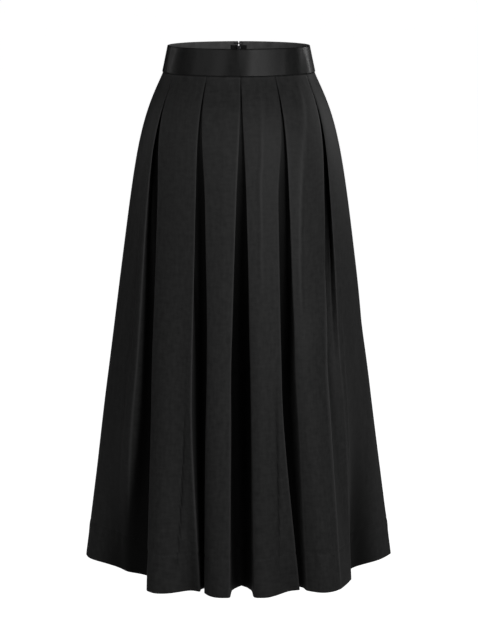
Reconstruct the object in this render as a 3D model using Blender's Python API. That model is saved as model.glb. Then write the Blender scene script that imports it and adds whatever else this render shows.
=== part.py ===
"""A high-waisted midi skirt of black satin, filled out as if worn: a flat waistband over eleven
inverted pleats that are sewn shut below the band and open out to a wavy hem, with a zip at the
centre back.

Metres, +Z up, front towards -Y. The origin is on the skirt's axis at the middle of the waistband,
where the wearer's waist holds it. Angles run round the skirt in degrees: the centre front is 0,
the +X side 90 and the centre back 180. Depths are measured down from the waistband's top edge.
"""

import math
from collections import namedtuple

import bmesh
import bpy
import numpy as np
from mathutils import Matrix, Vector

# Waistband
WAIST_HALF_WIDTH = 0.1188
WAIST_HALF_DEPTH = 0.0903
BAND_HEIGHT = 0.0440
BAND_THICK = 0.0022
BAND_PROUD = 0.0010  # its outer face stands this far outside the skirt's outline
BAND_COLUMNS = 96
BAND_STEPS = 5

# Outline of the cloth below the band
LENGTH = 0.905
HEM_HALF_WIDTH = 0.2734
HEM_HALF_DEPTH = 0.2200
SIDE_FLARE = 0.1338  # how much the half width grows for each metre of length
HIP_TUCK = 0.0297  # how far the waist draws in from that straight flare
HIP_FADE = 0.0662  # the length over which it does
HIP_POWER = 1.25
SEAT_FULLNESS = 0.012
SEAT_DEPTH = 0.20
SEAT_REACH = 0.13

# Cloth
CLOTH_THICK = 0.0012
LAYER_STEP = 0.0024  # from the middle of one layer of a closed pleat to the next
SEAM_GAP = 0.0003
MOUTH_CLOSED = 0.55  # half the mouth of a sewn pleat, in degrees
PANEL_CROWN = 0.004  # how far a panel's middle stands out at the hem
PANEL_SHARES = (0.26, 0.5, 0.74)

# The folds are set at five depths: seam, end of the stitching, hip, knee and hem
LEVELS = (0.044, 0.066, 0.250, 0.570, 0.905)
CORNER_SHARE = 0.45  # a corner takes up no more than this of the cloth on either side
CORNER_RADII = (0.0022, 0.0022, 0.0040, 0.0060, 0.0140)
PRESSED = (1.0, 1.0, 0.6, 0.0, 0.0)  # 1 where a tuck lies flat behind its panel
TUCKS = (0.026, 0.026, 0.021)  # down to the hip, as the table below gives the rest
VALLEYS = (0.0048, 0.0048, 0.020)

# One row for each pleat, from the centre back round by the -X side. A pleat has a left and a
# right edge and a valley between them, each at an angle. At the knee and the hem, in is how far
# inside the outline a point lies and tuck how far the cloth folds away behind an edge, and the
# dips are how far the panel after the pleat sinks in at three places, all in millimetres.
Fold = namedtuple(
    "Fold",
    "waist hip_left hip_right knee_left knee_right knee_valley_in knee_tuck "
    "hem_left hem_left_in hem_valley hem_valley_in hem_right hem_right_in tuck_left tuck_right "
    "dip_1 dip_2 dip_3",
)
FOLDS = {
    "back_1": Fold(-164.3, -166, -161, -166, -158, 46, 10, -167, 4, -161, 56, -155, 4, 10, 10, 2, -3, 3),
    "back_2": Fold(-131, -135, -130, -138, -130, 42, 10, -140, 4, -133, 60, -127, 4, 10, 10, -3, 4, 2),
    "side_left": Fold(-98, -101, -96, -104, -96, 42, 10, -112, 6, -103, 52, -93, -2, 8, 6, -2, 14, 15),
    "front_1": Fold(-57, -54.8, -47.1, -50.5, -40.6, 48, 10, -61, 49, -47, 62, -35.5, 1, 2, 8, -10, -5, 15),
    "front_2": Fold(-24.4, -22.2, -17.8, -20, -14, 56, 10, -15.8, 28, -15, 50, -14.2, 25, 5, 5, -6, -7, -4),
    "front_3": Fold(1.5, -1.1, 3.5, -3.1, 4.9, 70, 10, -3, 6, 1.6, 72, 5.3, 5, 8, 8, -5, 3, 10),
    "front_4": Fold(28.2, 20.9, 26.6, 18.9, 25.1, 56, 10, 25.8, 26, 26.5, 48, 27.2, 19, 5, 5, -12, -11, -6),
    "front_5": Fold(60.9, 51.1, 56.2, 41, 50.4, 9, 0, 39.5, -1, 45.6, 12, 51.9, 24, 0, 0, 44, 45, 18),
    "side_right": Fold(98, 96, 101, 96, 104, 42, 10, 93, -2, 103, 52, 112, 6, 6, 8, 0, 0, 0),
    "back_3": Fold(131, 130, 135, 130, 138, 46, 10, 127, 4, 133, 60, 140, 4, 10, 10, 3, -3, 4),
    "back_4": Fold(164.3, 161, 166, 158, 166, 42, 10, 155, 4, 161, 56, 167, 4, 10, 10, -2, 0, -2),
}
DIP_AT_KNEE = 0.3
ZIP_SIDE_TUCK = 0.014  # the two pleats beside the zip fold away less on its side

ROWS = (
    *(0.0443, 0.054, 0.066, 0.084, 0.108, 0.138, 0.175, 0.220, 0.275),
    *(0.340, 0.410, 0.485, 0.565, 0.645, 0.725, 0.800, 0.860, 0.905),
)
GUIDES_PER_FOLD = 16
VALLEY_GUIDE = 6
CENTRE_BACK_GUIDE = 174

# Centre back zip
ZIP_END = 0.200
OPENING_END = 0.210
ZIP_HALF_GAP = 0.0009  # each side of the opening stops this far from the centre back
TAPE_TOP = 0.0068
TAPE_INSIDE = 0.0018  # from the outline to the tape's outer face
TAPE_THICK = 0.0008
TAPE_INNER_EDGE = 0.0026
TAPE_OUTER_EDGE = 0.0136
CHAIN_HALF_WIDTH = 0.0021
CHAIN_INSIDE = 0.0017
CHAIN_THICK = 0.0012
ZIP_STEPS = 14

SLIDER_TOP = 0.0078
SLIDER_HEIGHT = 0.0085
SLIDER_HALF_WIDTH = 0.0034
SLIDER_INSIDE = 0.0032
SLIDER_THICK = 0.0026
SLIDER_CORNER = 0.0010
SLIDER_TAPER = 0.0008
NECK_HALF_THICK = 0.0005
NECK_HALF_HEIGHT = 0.0016
BAIL_DEPTH = 0.0105
BAIL_RADIUS = 0.0022
BAIL_HOLE_RADIUS = 0.0011
BAIL_STAND_OFF = 0.0026
BAIL_SIDES = 28
HOLE_SIDES = 20
BAR_SIDES = 16
TAB_BAR_RADIUS = 0.0007
TAB_LENGTH = 0.0210
TAB_THICK = 0.0012
TAB_HALF_WIDTH = 0.0032
TAB_LEG_INNER = 0.0013
TAB_WINDOW = 0.0056
TAB_CORNER_ACROSS = 0.0015
TAB_CORNER_UP = 0.0020
CHAIN_BELOW_BAIL = 0.0019
OVERLAP = 2e-5  # joined pieces differ by this much, so that no two faces coincide
PAST = 0.0020  # how far cutters reach past what they cut

# Hook and eye above the zip
HOOK_DEPTH = 0.0035
HOOK_HALF_HEIGHT = 0.0012
HOOK_INSIDE = 0.0018
HOOK_START = -0.0080
HOOK_END = 0.0036
HOOK_TIP = 0.0004
HOOK_FOLD = 0.0030
EYE_START = 0.0014
EYE_END = 0.0085
EYE_SPARE = 0.0004
WIRE = 0.0006


def half_width(depth):
    """Half the skirt's width: a straight flare, less a tuck that fades below the waist."""
    below = np.maximum(depth - BAND_HEIGHT, 0.0)
    flared = HEM_HALF_WIDTH - SIDE_FLARE * (LENGTH - depth)
    cloth = flared - HIP_TUCK * np.exp(-((below / HIP_FADE) ** HIP_POWER))
    seam = HEM_HALF_WIDTH - SIDE_FLARE * (LENGTH - BAND_HEIGHT) - HIP_TUCK
    band = WAIST_HALF_WIDTH + (seam - WAIST_HALF_WIDTH) * depth / BAND_HEIGHT
    return np.where(depth < BAND_HEIGHT, band, cloth)


def half_depth(depth, behind):
    """Half the depth from front to back: it grows in step with the width, fuller at the seat."""
    share = (half_width(depth) - WAIST_HALF_WIDTH) / (HEM_HALF_WIDTH - WAIST_HALF_WIDTH)
    plain = WAIST_HALF_DEPTH + share * (HEM_HALF_DEPTH - WAIST_HALF_DEPTH)
    seat = SEAT_FULLNESS * np.exp(-(((depth - SEAT_DEPTH) / SEAT_REACH) ** 2))
    return plain + np.where(behind, seat, 0.0)


def outline_point(angle, inside, depth):
    """Plan points at angles on the skirt's outline, moved inside it towards the axis."""
    turn = np.radians(angle)
    across = half_width(depth) * np.sin(turn)
    along = -half_depth(depth, np.cos(turn) < 0) * np.cos(turn)
    scale = 1 - inside / np.hypot(across, along)
    return np.stack(np.broadcast_arrays(across * scale, along * scale), axis=-1)


def unit(vectors):
    return vectors / np.linalg.norm(vectors, axis=-1, keepdims=True)


def at_depth(values, depth):
    """Values set at LEVELS, read between them by a curve that never overshoots."""
    at = np.array(LEVELS)
    values = np.array(values, float)
    slopes = np.diff(values, axis=0) / np.diff(at).reshape(-1, *[1] * (values.ndim - 1))
    agree = slopes[1:] * slopes[:-1] > 0
    both = np.where(agree, slopes[1:] + slopes[:-1], 1.0)
    inner = np.where(agree, 2 * slopes[1:] * slopes[:-1] / both, 0.0)
    tangents = np.concatenate([slopes[:1], inner, slopes[-1:]])
    k = int(np.clip(np.searchsorted(at, depth) - 1, 0, len(at) - 2))
    span = at[k + 1] - at[k]
    s = float(np.clip((depth - at[k]) / span, 0.0, 1.0))
    start = values[k] * (1 + 2 * s) + tangents[k] * span * s
    end = values[k + 1] * (3 - 2 * s) + tangents[k + 1] * span * (s - 1)
    return start * (1 - s) ** 2 + end * s * s


def round_corner(before, here, after, radius, inwards):
    """Three points that round a fold. Where the cloth turns right back they stay a layer apart."""
    ends = []
    for other in (before, after):
        reach = np.linalg.norm(other - here, axis=-1, keepdims=True)
        ends.append(here + (other - here) * np.minimum(radius / reach, CORNER_SHARE))
    first, last = ends
    apart = np.linalg.norm(last - first, axis=-1, keepdims=True)
    short = np.maximum(LAYER_STEP - apart, 0.0)
    return first, here + inwards * short / 2, last + inwards * short


def fold_side(side, angle, inside, panel, valley, valley_in, tuck, depth):
    """Six points from a panel to the valley behind its edge. side is -1 on the mouth's left.

    Where a pleat is pressed, its tuck follows the outline behind the panel. Where it is free, the
    tuck stands square to the line from the edge to the valley.
    """
    edge = outline_point(angle, inside, depth)
    inwards = -unit(edge)
    along = side * np.stack([inwards[:, 1], -inwards[:, 0]], axis=-1)
    chord = unit(valley - edge)
    square = np.stack([-chord[:, 1], chord[:, 0]], axis=-1)
    square = square * np.sign((square * along).sum(axis=-1, keepdims=True))
    one_degree = outline_point(angle + side, inside, depth) - edge
    turn = side * tuck / np.linalg.norm(one_degree, axis=-1)
    pressed = outline_point(angle + turn, (inside + valley_in) / 2, depth)
    free = (edge + valley) / 2 + tuck[:, None] * square
    share = at_depth(PRESSED, depth)
    fold = share * pressed + (1 - share) * free
    radius = at_depth(CORNER_RADII, depth)
    edge_points = round_corner(panel, edge, fold, radius, inwards)
    fold_points = round_corner(edge_points[2], fold, valley, radius, -unit(fold))
    return [*edge_points, *fold_points]


def guides(depth):
    """The points that guide one closed ring of cloth: a row of 16 for each pleat and its panel."""
    f = Fold(*np.array(list(FOLDS.values()), float).T)
    none = np.zeros(len(FOLDS))
    sewn_left, sewn_right = f.waist - MOUTH_CLOSED, f.waist + MOUTH_CLOSED
    left = at_depth([sewn_left, sewn_left, f.hip_left, f.knee_left, f.hem_left], depth)
    right = at_depth([sewn_right, sewn_right, f.hip_right, f.knee_right, f.hem_right], depth)
    lean = at_depth([none] * 4 + [f.hem_valley - (f.hem_left + f.hem_right) / 2], depth)
    left_in = at_depth([none] * 4 + [f.hem_left_in / 1000], depth)
    right_in = at_depth([none] * 4 + [f.hem_right_in / 1000], depth)
    valleys = [none + valley for valley in VALLEYS]
    valley_in = at_depth([*valleys, f.knee_valley_in / 1000, f.hem_valley_in / 1000], depth)
    tucks = [none + tuck for tuck in TUCKS] + [f.knee_tuck / 1000]
    tuck_left = at_depth(tucks + [f.tuck_left / 1000], depth)
    tuck_right = at_depth(tucks + [f.tuck_right / 1000], depth)
    tuck_left[0] = min(tuck_left[0], ZIP_SIDE_TUCK)
    tuck_right[-1] = min(tuck_right[-1], ZIP_SIDE_TUCK)

    valley = outline_point((left + right) / 2 + lean, valley_in, depth)
    next_left = np.roll(left, -1) + np.where(np.arange(len(left)) == len(left) - 1, 360.0, 0.0)
    next_in = np.roll(left_in, -1)
    crown = PANEL_CROWN * max(depth - LEVELS[1], 0.0) / (LENGTH - LEVELS[1])
    panels = []
    for share, hem_dip in zip(PANEL_SHARES, (f.dip_1, f.dip_2, f.dip_3)):
        inside = right_in + share * (next_in - right_in) - crown * 4 * share * (1 - share)
        inside += at_depth([none] * 3 + [DIP_AT_KNEE * hem_dip / 1000, hem_dip / 1000], depth)
        panels.append(outline_point(right + share * (next_left - right), inside, depth))
    before = np.roll(panels[-1], 1, axis=0)
    left_side = fold_side(-1, left, left_in, before, valley, valley_in, tuck_left, depth)
    right_side = fold_side(1, right, right_in, panels[0], valley, valley_in, tuck_right, depth)
    return np.stack([*left_side, valley, *right_side[::-1], *panels], axis=1).reshape(-1, 2)


def ring(depth):
    """One ring of the cloth's middle surface: a smooth closed curve through its guides."""
    points = guides(depth)
    return (np.roll(points, 1, axis=0) + 4 * points + np.roll(points, -1, axis=0)) / 6


def ring_inwards(points):
    """The inward direction at each point of a closed ring, midway between its two sides' own."""
    ahead = unit(np.roll(points, -1, axis=0) - points)
    ahead = unit(ahead + np.roll(ahead, 1, axis=0))
    return np.stack([-ahead[:, 1], ahead[:, 0]], axis=-1)


def cloth(first, last, first_gap, last_gap):
    """Outer and inner grids of the cloth from one guide to another, cut short at both ends."""
    count = (last - first) % (GUIDES_PER_FOLD * len(FOLDS)) + 1
    pick = (first + np.arange(count)) % (GUIDES_PER_FOLD * len(FOLDS))
    outer, inner = [], []
    for depth in ROWS:
        middle = ring(depth)
        inwards = ring_inwards(middle)[pick]
        middle = middle[pick]
        ahead = np.stack([inwards[:, 1], -inwards[:, 0]], axis=-1)
        middle[0] += ahead[0] * first_gap(depth)
        middle[-1] -= ahead[-1] * last_gap(depth)
        height = np.full((count, 1), BAND_HEIGHT / 2 - depth)
        outer.append(np.hstack([middle - inwards * CLOTH_THICK / 2, height]))
        inner.append(np.hstack([middle + inwards * CLOTH_THICK / 2, height]))
    return np.array(outer), np.array(inner)


def seam(depth):
    return SEAM_GAP / 2


def centre_back(depth):
    return ZIP_HALF_GAP if depth < OPENING_END else SEAM_GAP / 2


def material(name, colour, roughness, metallic=0.0):
    made = bpy.data.materials.new(name)
    made.use_nodes = True
    shader = made.node_tree.nodes["Principled BSDF"]
    shader.inputs["Base Color"].default_value = (*colour, 1.0)
    shader.inputs["Roughness"].default_value = roughness
    shader.inputs["Metallic"].default_value = metallic
    return made


def add(name, points, faces, finish, hidden=False):
    """A closed object from points and faces, turned to face outwards."""
    mesh = bpy.data.meshes.new(name)
    mesh.from_pydata([tuple(map(float, p)) for p in points], [], faces)
    shape = bmesh.new()
    shape.from_mesh(mesh)
    bmesh.ops.recalc_face_normals(shape, faces=shape.faces)
    shape.to_mesh(mesh)
    shape.free()
    mesh.materials.append(finish)
    made = bpy.data.objects.new(name, mesh)
    made.hide_render = hidden
    made.hide_viewport = hidden
    made.display_type = "WIRE" if hidden else "TEXTURED"
    bpy.context.scene.collection.objects.link(made)
    return made


def add_slab(name, outer, inner, finish):
    """A sheet with thickness, from its outer and inner grids of the same shape."""
    rows, columns = outer.shape[:2]
    number = np.arange(rows * columns).reshape(rows, columns)
    back = number + rows * columns
    faces = []
    for grid in (number, back):
        quads = np.stack([grid[:-1, :-1], grid[:-1, 1:], grid[1:, 1:], grid[1:, :-1]], axis=-1)
        faces += quads.reshape(-1, 4).tolist()
    for near, far in (
        (number[0], back[0]),
        (number[-1], back[-1]),
        (number[:, 0], back[:, 0]),
        (number[:, -1], back[:, -1]),
    ):
        faces += np.stack([near[:-1], near[1:], far[1:], far[:-1]], axis=-1).tolist()
    return add(name, np.vstack([outer.reshape(-1, 3), inner.reshape(-1, 3)]), faces, finish)


def add_prism(name, loop, shift, finish, hidden=False):
    """A closed loop of points pushed along a shift."""
    loop = np.array(loop, float)
    n = len(loop)
    faces = [list(range(n)), list(range(2 * n - 1, n - 1, -1))]
    faces += [[i, (i + 1) % n, n + (i + 1) % n, n + i] for i in range(n)]
    return add(name, np.vstack([loop, loop + np.array(shift)]), faces, finish, hidden)


def move_origin(made, place):
    """Puts an object's origin at a place without moving its shape."""
    made.data.transform(Matrix.Translation(-Vector(place)))
    made.location = place


def combine(target, operation, other):
    step = target.modifiers.new(operation.lower(), "BOOLEAN")
    step.operation = operation
    step.object = other
    step.solver = "EXACT"


def back_y(depth, inside=0.0, across=0.0):
    """How far back the outline's centre-back face lies, moved inside, at a distance across."""
    drop = np.sqrt(1 - (across / half_width(depth)) ** 2)
    return half_depth(depth, True) * drop - inside


def add_waistband(finish):
    outer, inner = [], []
    for step in range(BAND_STEPS + 1):
        depth = BAND_HEIGHT * step / BAND_STEPS
        end = 180 - math.degrees(math.asin(ZIP_HALF_GAP / float(half_width(depth))))
        angles = np.linspace(-end, end, BAND_COLUMNS)
        height = np.full((BAND_COLUMNS, 1), BAND_HEIGHT / 2 - depth)
        outer.append(np.hstack([outline_point(angles, -BAND_PROUD, depth), height]))
        inner.append(np.hstack([outline_point(angles, BAND_THICK - BAND_PROUD, depth), height]))
    return add_slab("waistband", np.array(outer), np.array(inner), finish)


def add_zip_strip(name, start, end, top, inside, thick, finish):
    """A flat strip that runs down inside the centre back, between two distances across."""
    outer, inner = [], []
    for depth in np.linspace(top, ZIP_END, ZIP_STEPS):
        across = np.linspace(start, end, 3)
        height = np.full(3, BAND_HEIGHT / 2 - depth)
        outer.append(np.stack([across, back_y(depth, inside, across), height], axis=-1))
        inner.append(np.stack([across, back_y(depth, inside + thick, across), height], axis=-1))
    return add_slab(name, np.array(outer), np.array(inner), finish)


def disc(y, z, radius, count, turn=0.0):
    turns = np.arange(count) * 2 * math.pi / count + turn
    return [(y + radius * math.cos(t), z + radius * math.sin(t)) for t in turns]


def add_slider(finish):
    """A slider inside the tapes, whose neck passes the opening to a bail with a round hole."""
    top = BAND_HEIGHT / 2 - SLIDER_TOP
    face = float(back_y(SLIDER_TOP, SLIDER_INSIDE))
    half = SLIDER_HALF_WIDTH
    corner, foot = half - SLIDER_CORNER, half - SLIDER_TAPER
    body = [
        (-half, face, top - SLIDER_CORNER),
        (-corner, face, top),
        (corner, face, top),
        (half, face, top - SLIDER_CORNER),
        (foot, face, top - SLIDER_HEIGHT),
        (-foot, face, top - SLIDER_HEIGHT),
    ]
    slider = add_prism("zip_slider", body, (0, -SLIDER_THICK, 0), finish)
    y, z = bail_centre()
    inner = face - SLIDER_THICK / 2
    neck = [
        (-NECK_HALF_THICK, inner, z - NECK_HALF_HEIGHT),
        (-NECK_HALF_THICK, y, z - NECK_HALF_HEIGHT),
        (-NECK_HALF_THICK, y, z + NECK_HALF_HEIGHT),
        (-NECK_HALF_THICK, inner, z + NECK_HALF_HEIGHT),
    ]
    thick = (2 * NECK_HALF_THICK, 0, 0)
    combine(slider, "UNION", add_prism("neck", neck, thick, finish, hidden=True))
    rim = [(-NECK_HALF_THICK - OVERLAP, *p) for p in disc(y, z, BAIL_RADIUS, BAIL_SIDES)]
    thick = (2 * NECK_HALF_THICK + 2 * OVERLAP, 0, 0)
    combine(slider, "UNION", add_prism("bail", rim, thick, finish, hidden=True))
    hole = [(-PAST, *p) for p in disc(y, z, BAIL_HOLE_RADIUS, HOLE_SIDES)]
    cutter = add_prism("bail_hole", hole, (2 * PAST, 0, 0), finish, hidden=True)
    combine(slider, "DIFFERENCE", cutter)
    return slider


def bail_centre():
    """Where the pull tab's bar turns: the middle of the bail's hole, as y and z."""
    return float(back_y(BAIL_DEPTH, -BAND_PROUD - BAIL_STAND_OFF)), BAND_HEIGHT / 2 - BAIL_DEPTH


def add_pull_tab(finish):
    """A flat tab hung on a round bar through the bail's hole. It lies along the band's slope."""
    y, z = bail_centre()
    slope = math.atan2(float(back_y(BAND_HEIGHT) - back_y(0.0)), BAND_HEIGHT)

    def placed(x, out, down):
        """A point of the hanging tab, given out from and down along the band."""
        return (
            x,
            y + out * math.cos(slope) + down * math.sin(slope),
            z - down * math.cos(slope) + out * math.sin(slope),
        )

    bar = [(-TAB_HALF_WIDTH, *p) for p in disc(y, z, TAB_BAR_RADIUS, BAR_SIDES, slope)]
    tab = add_prism("zip_pull_tab", bar, (2 * TAB_HALF_WIDTH, 0, 0), finish)
    half = TAB_HALF_WIDTH - OVERLAP
    plate = [
        (-half, 0.0),
        (-half, TAB_LENGTH - TAB_CORNER_UP),
        (-half + TAB_CORNER_ACROSS, TAB_LENGTH),
        (half - TAB_CORNER_ACROSS, TAB_LENGTH),
        (half, TAB_LENGTH - TAB_CORNER_UP),
        (half, 0.0),
    ]
    outwards = np.array(placed(0, 1, 0)) - np.array(placed(0, 0, 0))
    leaf = [placed(x, -TAB_THICK / 2, down) for x, down in plate]
    leaf = add_prism("leaf", leaf, outwards * TAB_THICK, finish, hidden=True)
    window = [
        (-TAB_LEG_INNER, -PAST),
        (TAB_LEG_INNER, -PAST),
        (TAB_LEG_INNER, TAB_WINDOW),
        (-TAB_LEG_INNER, TAB_WINDOW),
    ]
    window = [placed(x, -PAST, down) for x, down in window]
    window = add_prism("window", window, outwards * 2 * PAST, finish, hidden=True)
    combine(leaf, "DIFFERENCE", window)
    combine(tab, "UNION", leaf)
    move_origin(tab, (0.0, y, z))
    return tab


def add_hook(finish):
    """A flat hook on the -X side of the opening, whose end turns back round the eye's bar."""
    face = float(back_y(HOOK_DEPTH, HOOK_INSIDE))
    shape = [
        (HOOK_START, 0.0),
        (HOOK_END, 0.0),
        (HOOK_END, -HOOK_FOLD),
        (HOOK_TIP, -HOOK_FOLD),
        (HOOK_TIP, -HOOK_FOLD + WIRE),
        (HOOK_END - WIRE, -HOOK_FOLD + WIRE),
        (HOOK_END - WIRE, -WIRE),
        (HOOK_START, -WIRE),
    ]
    low = BAND_HEIGHT / 2 - HOOK_DEPTH - HOOK_HALF_HEIGHT
    loop = [(x, face + y, low) for x, y in shape]
    return add_prism("hook", loop, (0, 0, 2 * HOOK_HALF_HEIGHT), finish)


def add_eye(finish):
    """A square loop of wire on the +X side, whose near bar stands in the middle of the hook."""
    face = float(back_y(HOOK_DEPTH, HOOK_INSIDE)) - (HOOK_FOLD - WIRE) / 2
    middle = BAND_HEIGHT / 2 - HOOK_DEPTH
    tall = HOOK_HALF_HEIGHT + EYE_SPARE
    points = []
    for out in (0.0, -WIRE):
        for trim in (0.0, WIRE):
            left, right, rise = EYE_START + trim, EYE_END - trim, tall + WIRE - trim
            for x, z in ((left, -rise), (right, -rise), (right, rise), (left, rise)):
                points.append((x, face + out, middle + z))
    faces = []
    for i in range(4):
        j = (i + 1) % 4
        for near, far in ((0, 4), (8, 12), (0, 8), (4, 12)):
            faces.append([near + i, near + j, far + j, far + i])
    return add("eye", points, faces, finish)


for old in list(bpy.data.objects):
    bpy.data.objects.remove(old)

satin = material("black_satin", (0.0130, 0.0130, 0.0140), 0.42)
band_satin = material("waistband_satin", (0.0130, 0.0130, 0.0140), 0.34)
tape_weave = material("zip_tape", (0.0090, 0.0090, 0.0100), 0.80)
coil = material("zip_coil", (0.0100, 0.0100, 0.0110), 0.45)
dark_metal = material("blackened_metal", (0.0500, 0.0500, 0.0530), 0.35, 0.9)

valley_guides = {name: i * GUIDES_PER_FOLD + VALLEY_GUIDE for i, name in enumerate(FOLDS)}
side_left, side_right = valley_guides["side_left"], valley_guides["side_right"]
add_waistband(band_satin)
add_slab("skirt_front", *cloth(side_left, side_right, seam, seam), satin)
add_slab("skirt_back_left", *cloth(CENTRE_BACK_GUIDE, side_left, centre_back, seam), satin)
add_slab("skirt_back_right", *cloth(side_right, CENTRE_BACK_GUIDE, seam, centre_back), satin)
tape = (TAPE_TOP, TAPE_INSIDE, TAPE_THICK, tape_weave)
add_zip_strip("zip_tape_left", -TAPE_OUTER_EDGE, -TAPE_INNER_EDGE, *tape)
add_zip_strip("zip_tape_right", TAPE_INNER_EDGE, TAPE_OUTER_EDGE, *tape)
chain_top = BAIL_DEPTH + CHAIN_BELOW_BAIL
add_zip_strip(
    "zip_chain", -CHAIN_HALF_WIDTH, CHAIN_HALF_WIDTH, chain_top, CHAIN_INSIDE, CHAIN_THICK, coil
)
add_slider(dark_metal)
add_pull_tab(dark_metal)
add_hook(dark_metal)
add_eye(dark_metal)
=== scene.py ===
"""The looks of a black satin midi skirt, filled out as if worn. Metres, +Z up, front towards -Y."""

import math

import bmesh
import bpy
import numpy as np
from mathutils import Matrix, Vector


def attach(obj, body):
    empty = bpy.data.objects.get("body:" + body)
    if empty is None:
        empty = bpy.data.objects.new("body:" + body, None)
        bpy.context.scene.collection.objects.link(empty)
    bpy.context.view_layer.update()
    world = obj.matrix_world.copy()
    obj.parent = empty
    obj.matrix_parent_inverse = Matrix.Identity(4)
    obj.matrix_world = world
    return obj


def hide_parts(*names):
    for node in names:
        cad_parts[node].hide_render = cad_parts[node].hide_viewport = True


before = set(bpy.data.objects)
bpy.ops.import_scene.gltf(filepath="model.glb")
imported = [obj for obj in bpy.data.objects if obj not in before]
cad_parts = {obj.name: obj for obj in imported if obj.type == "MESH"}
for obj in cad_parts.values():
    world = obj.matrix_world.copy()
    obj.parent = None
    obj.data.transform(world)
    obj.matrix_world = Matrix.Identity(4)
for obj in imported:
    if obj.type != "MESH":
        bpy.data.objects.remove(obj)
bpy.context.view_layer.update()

# Camera
# It stands a little above the waistband and looks down the front of the skirt. Its distance,
# height and tilt come from the ellipses that the waistband and the hem make in the photograph.
WAIST_TOP = 0.022
CAMERA_AWAY = 3.2
CAMERA_RISE = 0.2335
CAMERA_TILT = 12.48
LENS_MM = 105.97
AXIS_OFF_CENTRE = 0.0005

lens = bpy.data.cameras.new("camera")
lens.lens = LENS_MM
lens.sensor_width = 36.0
camera = bpy.data.objects.new("camera", lens)
camera.location = (AXIS_OFF_CENTRE, -CAMERA_AWAY, WAIST_TOP + CAMERA_RISE)
camera.rotation_euler = (math.radians(90 - CAMERA_TILT), 0, 0)
bpy.context.scene.collection.objects.link(camera)
bpy.context.scene.camera = camera

# Skirt panels
# Three panels of satin, a front and two backs, laid in eleven inverted pleats. The pleats are
# sewn shut just below the waistband, their seams are hidden in the side pleats, and the cloth
# hangs free below, where each pleat opens and the hem rolls into soft flutes.
BAND_HEIGHT = 0.0440
WAIST_HALF_WIDTH = 0.1188
WAIST_HALF_DEPTH = 0.0903
LENGTH = 0.905
HEM_HALF_WIDTH = 0.2734
HEM_HALF_DEPTH = 0.2200
SIDE_FLARE = 0.1338
HIP_TUCK = 0.0297
HIP_FADE = 0.0662
HIP_POWER = 1.25
SEAT_FULLNESS = 0.012
SEAT_DEPTH = 0.20
SEAT_REACH = 0.13

SATIN_THICK = 0.0004
LAYER_STEP = 0.0022
# Half the angle that a sewn pleat's mouth spans, at its stitching's end and at the seam above.
MOUTH_CLOSED = 0.16
MOUTH_AT_SEAM = 0.02
BAND_PULL = 0.035
PANEL_CROWN = 0.004
PANEL_SHARES = (0.26, 0.5, 0.74)
HEM_TURN = 0.066
HEM_ROWS = 16
HEM_STEP = 0.0007
CLOTH_ROWS = 121
TOP_ROWS = 34
TOP_ROWS_END = 0.12
HEM_LINE_ROWS = (-0.004, -0.002, 0.0, 0.002, 0.004)
TURNED_FROM = 0.010
GUIDES_PER_FOLD = 16
VALLEY_GUIDE = 6
CENTRE_BACK_GUIDE = 174
ZIP_END = 0.200
ZIP_HALF_GAP = 0.0009
OPEN_PAST_ZIP = 0.01
SEAM_GAP = 0.00004
ALLOWANCE_COLUMNS = 5
ZIP_SIDE_TUCK = 0.014

# Values down the skirt are given at five depths: seam, end of the stitching, hip, knee and hem.
LEVELS = np.array((0.044, 0.066, 0.250, 0.570, 0.905))
CORNER_SHARE = 0.45
CORNER_LEFT = (0.0003, 0.0014, 0.0032, 0.0045, 0.0090)
CORNER_RIGHT = (0.0003, 0.0014, 0.0040, 0.0080, 0.0160)
# Corners that differ below the hip: the pleat, its side, left or right, and times rounder.
CORNERS_SOFTENED = ((3, 0, 3.2), (7, 0, 0.7), (7, 1, 0.4))
# How far a pleat is still pressed flat, then the cloth folded away and the valley's distance
# inside the outline, down to the hip.
PRESSED = (1.0, 1.0, 0.6, 0.0, 0.0)
TUCKS = (0.026, 0.026, 0.021)
VALLEYS = (0.0048, 0.0048, 0.020)

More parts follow.
